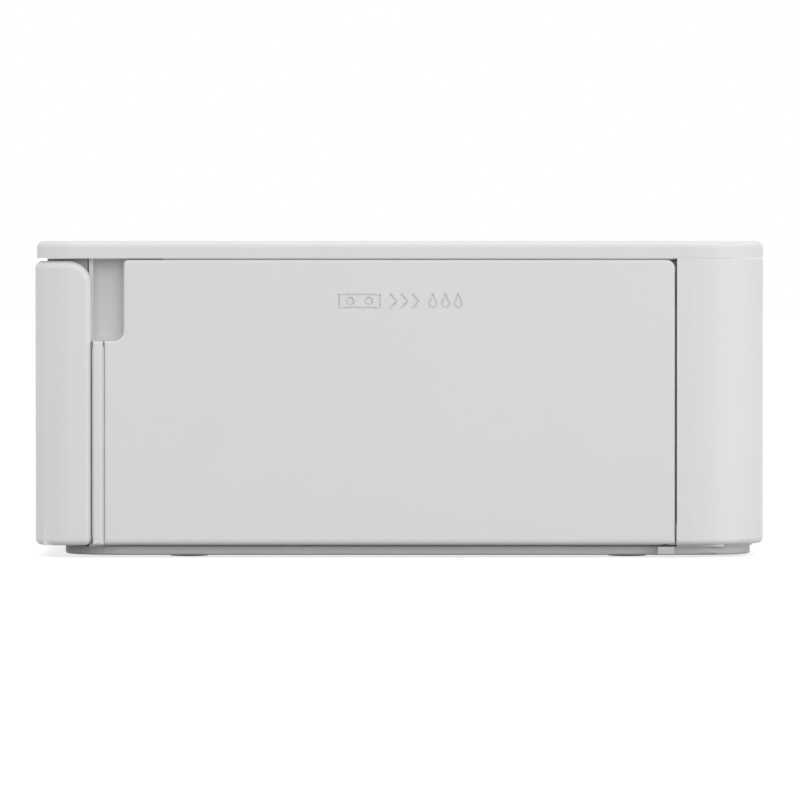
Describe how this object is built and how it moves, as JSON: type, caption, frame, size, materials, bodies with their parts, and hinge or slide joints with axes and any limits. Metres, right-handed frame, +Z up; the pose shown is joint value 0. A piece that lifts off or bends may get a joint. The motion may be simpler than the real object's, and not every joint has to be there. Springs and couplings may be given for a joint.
{
  "type": "compact photo printer",
  "caption": "Compact box-shaped photo printer with a hinged ink door on the side, a drop-down front cover, a top display with keys and a moving print mechanism.",
  "frame": {"origin": "under the middle of the printer, on the surface it stands on", "axes": "+X to the printer's right side, where the ink door is, -Y to its front cover, +Z up"},
  "size_m": [0.1822, 0.133, 0.0576],
  "materials": {
    "shell_white": "fine satin moulded plastic",
    "inner_grey": "moulded plastic",
    "case_dark": "moulded plastic",
    "feet_rubber": "matte rubber",
    "roller_rubber": "ground rubber",
    "steel": "ground",
    "sheet_steel": "zinc plated sheet",
    "aluminium": "extruded",
    "gear_white": "moulded acetal",
    "window_black": "gloss",
    "board_green": "solder mask",
    "ribbon": "thin film",
    "key_grey": "fine satin",
    "ceramic": "glazed"
  },
  "bodies": {
    "printer_body": {"base_plate": "inner_grey", "base_screws": "steel", "body_casing": "shell_white", "cam_motor": "steel", "card_slot": "steel", "chassis_pan": "sheet_steel", "control_board": "board_green", "dc_jack": "case_dark", "display_module": "case_dark", "display_window": "window_black", "fan_housing": "inner_grey", "feed_motor": "steel", "front_cover_pins": "steel", "front_frame": "inner_grey", "gear_plate": "sheet_steel", "left_side_plate": "sheet_steel", "main_board": "board_green", "paper_guides": "inner_grey", "ribbon_motor": "steel", "right_side_plate": "sheet_steel", "rubber_feet": "feet_rubber", "side_frame": "shell_white", "top_cover": "shell_white", "usb_port": "steel"},
    "ink_door": {"ink_door": "shell_white", "ink_door_pins": "steel"},
    "front_cover": {"front_cover": "shell_white"},
    "fan_rotor": {"fan_rotor": "case_dark"},
    "capstan": {"capstan_shaft": "steel", "capstan_gear": "gear_white"},
    "idler": {"idler_gear": "gear_white"},
    "platen": {"platen_shaft": "steel", "platen_rubber": "roller_rubber", "platen_gear": "gear_white"},
    "pinch": {"pinch_roller": "steel"},
    "feed_pinion": {"feed_pinion": "gear_white"},
    "pickup_arm": {"pickup_arm": "inner_grey"},
    "pickup_rollers": {"pickup_shaft": "steel", "pickup_rollers": "roller_rubber"},
    "print_head": {"head_carrier": "sheet_steel", "heat_sink": "aluminium", "thermal_head": "ceramic"},
    "head_cam": {"head_cam": "gear_white"},
    "cam_pinion": {"cam_pinion": "gear_white"},
    "ink_cassette": {"ink_cassette_case": "case_dark", "ribbon_film": "ribbon"},
    "supply_spool": {"supply_spool": "case_dark"},
    "takeup_spool": {"takeup_spool": "case_dark"},
    "takeup_hub": {"takeup_hub": "inner_grey"},
    "ribbon_pinion": {"ribbon_pinion": "gear_white"},
    "power_button": {"power_button": "key_grey"},
    "menu_button": {"menu_button": "key_grey"},
    "back_button": {"back_button": "key_grey"},
    "print_button": {"print_button": "key_grey"},
    "ok_button": {"ok_button": "key_grey"},
    "right_button": {"right_button": "key_grey"},
    "up_button": {"up_button": "key_grey"},
    "left_button": {"left_button": "key_grey"},
    "down_button": {"down_button": "key_grey"}
  },
  "joints": [
    {"name": "ink_door_hinge", "type": "hinge", "parent": "printer_body", "child": "ink_door", "pos_m": [0.09, 0.04836, 0.028], "axis": [0, 0, 1], "range_deg": [0, 105]},
    {"name": "front_cover_hinge", "type": "hinge", "parent": "printer_body", "child": "front_cover", "pos_m": [0, -0.0631, 0.0037], "axis": [1, 0, 0], "range_deg": [0, 90]},
    {"name": "power_press", "type": "slide", "parent": "printer_body", "child": "power_button", "axis": [0, 0, -1], "range_m": [0, 0.0006], "stiffness_N_per_m": 400, "springref_m": -0.0002},
    {"name": "menu_press", "type": "slide", "parent": "printer_body", "child": "menu_button", "axis": [0, 0, -1], "range_m": [0, 0.0006], "stiffness_N_per_m": 400, "springref_m": -0.0002},
    {"name": "back_press", "type": "slide", "parent": "printer_body", "child": "back_button", "axis": [0, 0, -1], "range_m": [0, 0.0006], "stiffness_N_per_m": 400, "springref_m": -0.0002},
    {"name": "print_press", "type": "slide", "parent": "printer_body", "child": "print_button", "axis": [0, 0, -1], "range_m": [0, 0.0006], "stiffness_N_per_m": 400, "springref_m": -0.0002},
    {"name": "ok_press", "type": "slide", "parent": "printer_body", "child": "ok_button", "axis": [0, 0, -1], "range_m": [0, 0.0006], "stiffness_N_per_m": 400, "springref_m": -0.0002},
    {"name": "right_press", "type": "slide", "parent": "printer_body", "child": "right_button", "axis": [0, 0, -1], "range_m": [0, 0.0006], "stiffness_N_per_m": 400, "springref_m": -0.0002},
    {"name": "up_press", "type": "slide", "parent": "printer_body", "child": "up_button", "axis": [0, 0, -1], "range_m": [0, 0.0006], "stiffness_N_per_m": 400, "springref_m": -0.0002},
    {"name": "left_press", "type": "slide", "parent": "printer_body", "child": "left_button", "axis": [0, 0, -1], "range_m": [0, 0.0006], "stiffness_N_per_m": 400, "springref_m": -0.0002},
    {"name": "down_press", "type": "slide", "parent": "printer_body", "child": "down_button", "axis": [0, 0, -1], "range_m": [0, 0.0006], "stiffness_N_per_m": 400, "springref_m": -0.0002},
    {"name": "fan_spin", "type": "hinge", "parent": "printer_body", "child": "fan_rotor", "pos_m": [-0.086, -0.019, 0.036], "axis": [1, 0, 0], "continuous": true},
    {"name": "capstan_spin", "type": "hinge", "parent": "printer_body", "child": "capstan", "pos_m": [0.01, 0.056, 0.0195], "axis": [1, 0, 0], "continuous": true},
    {"name": "idler_spin", "type": "hinge", "parent": "printer_body", "child": "idler", "pos_m": [-0.0635, 0.03719, 0.02138], "axis": [1, 0, 0], "continuous": true},
    {"name": "platen_spin", "type": "hinge", "parent": "printer_body", "child": "platen", "pos_m": [0.01, 0.014, 0.0165], "axis": [1, 0, 0], "continuous": true},
    {"name": "pinch_spin", "type": "hinge", "parent": "printer_body", "child": "pinch", "pos_m": [0.01, 0.056, 0.0268], "axis": [1, 0, 0], "continuous": true},
    {"name": "feed_pinion_spin", "type": "hinge", "parent": "printer_body", "child": "feed_pinion", "pos_m": [-0.0635, 0.05045, 0.0325], "axis": [1, 0, 0], "continuous": true},
    {"name": "pickup_arm_lift", "type": "hinge", "parent": "printer_body", "child": "pickup_arm", "pos_m": [0.01, -0.027, 0.0306], "axis": [1, 0, 0], "range_deg": [0, 35]},
    {"name": "pickup_roller_spin", "type": "hinge", "parent": "pickup_arm", "child": "pickup_rollers", "pos_m": [0.01, -0.044, 0.0306], "axis": [1, 0, 0], "continuous": true},
    {"name": "head_lift", "type": "hinge", "parent": "printer_body", "child": "print_head", "pos_m": [0.01, -0.026, 0.048], "axis": [1, 0, 0], "range_deg": [-4.31, 0]},
    {"name": "head_cam_turn", "type": "hinge", "parent": "printer_body", "child": "head_cam", "pos_m": [-0.059, 0.02, 0.033], "axis": [1, 0, 0], "range_deg": [0, 150]},
    {"name": "cam_pinion_spin", "type": "hinge", "parent": "printer_body", "child": "cam_pinion", "pos_m": [-0.0595, 0.01073, 0.04078], "axis": [1, 0, 0], "range_deg": [-300.1, 0]},
    {"name": "ink_cassette_slide", "type": "slide", "parent": "printer_body", "child": "ink_cassette", "axis": [1, 0, 0], "range_m": [0, 0.0025]},
    {"name": "supply_spool_spin", "type": "hinge", "parent": "ink_cassette", "child": "supply_spool", "pos_m": [0.01, -0.012, 0.0375], "axis": [1, 0, 0], "continuous": true},
    {"name": "takeup_spool_spin", "type": "hinge", "parent": "ink_cassette", "child": "takeup_spool", "pos_m": [0.01, 0.038, 0.0375], "axis": [1, 0, 0], "continuous": true},
    {"name": "takeup_hub_spin", "type": "hinge", "parent": "printer_body", "child": "takeup_hub", "pos_m": [-0.052, 0.038, 0.0375], "axis": [1, 0, 0], "continuous": true},
    {"name": "ribbon_pinion_spin", "type": "hinge", "parent": "printer_body", "child": "ribbon_pinion", "pos_m": [-0.054, 0.03114, 0.04436], "axis": [1, 0, 0], "continuous": true}
  ],
  "couplings": [
    {"joint": "idler_spin", "follows": "capstan_spin", "ratio": -0.34286},
    {"joint": "platen_spin", "follows": "capstan_spin", "ratio": 0.5},
    {"joint": "feed_pinion_spin", "follows": "capstan_spin", "ratio": 1.5},
    {"joint": "pinch_spin", "follows": "capstan_spin", "ratio": -0.75},
    {"joint": "head_lift", "follows": "head_cam_turn", "ratio": -0.028667},
    {"joint": "cam_pinion_spin", "follows": "head_cam_turn", "ratio": -2},
    {"joint": "takeup_spool_spin", "follows": "takeup_hub_spin", "ratio": 1},
    {"joint": "supply_spool_spin", "follows": "takeup_hub_spin", "ratio": 0.675},
    {"joint": "ribbon_pinion_spin", "follows": "takeup_hub_spin", "ratio": -2}
  ]
}
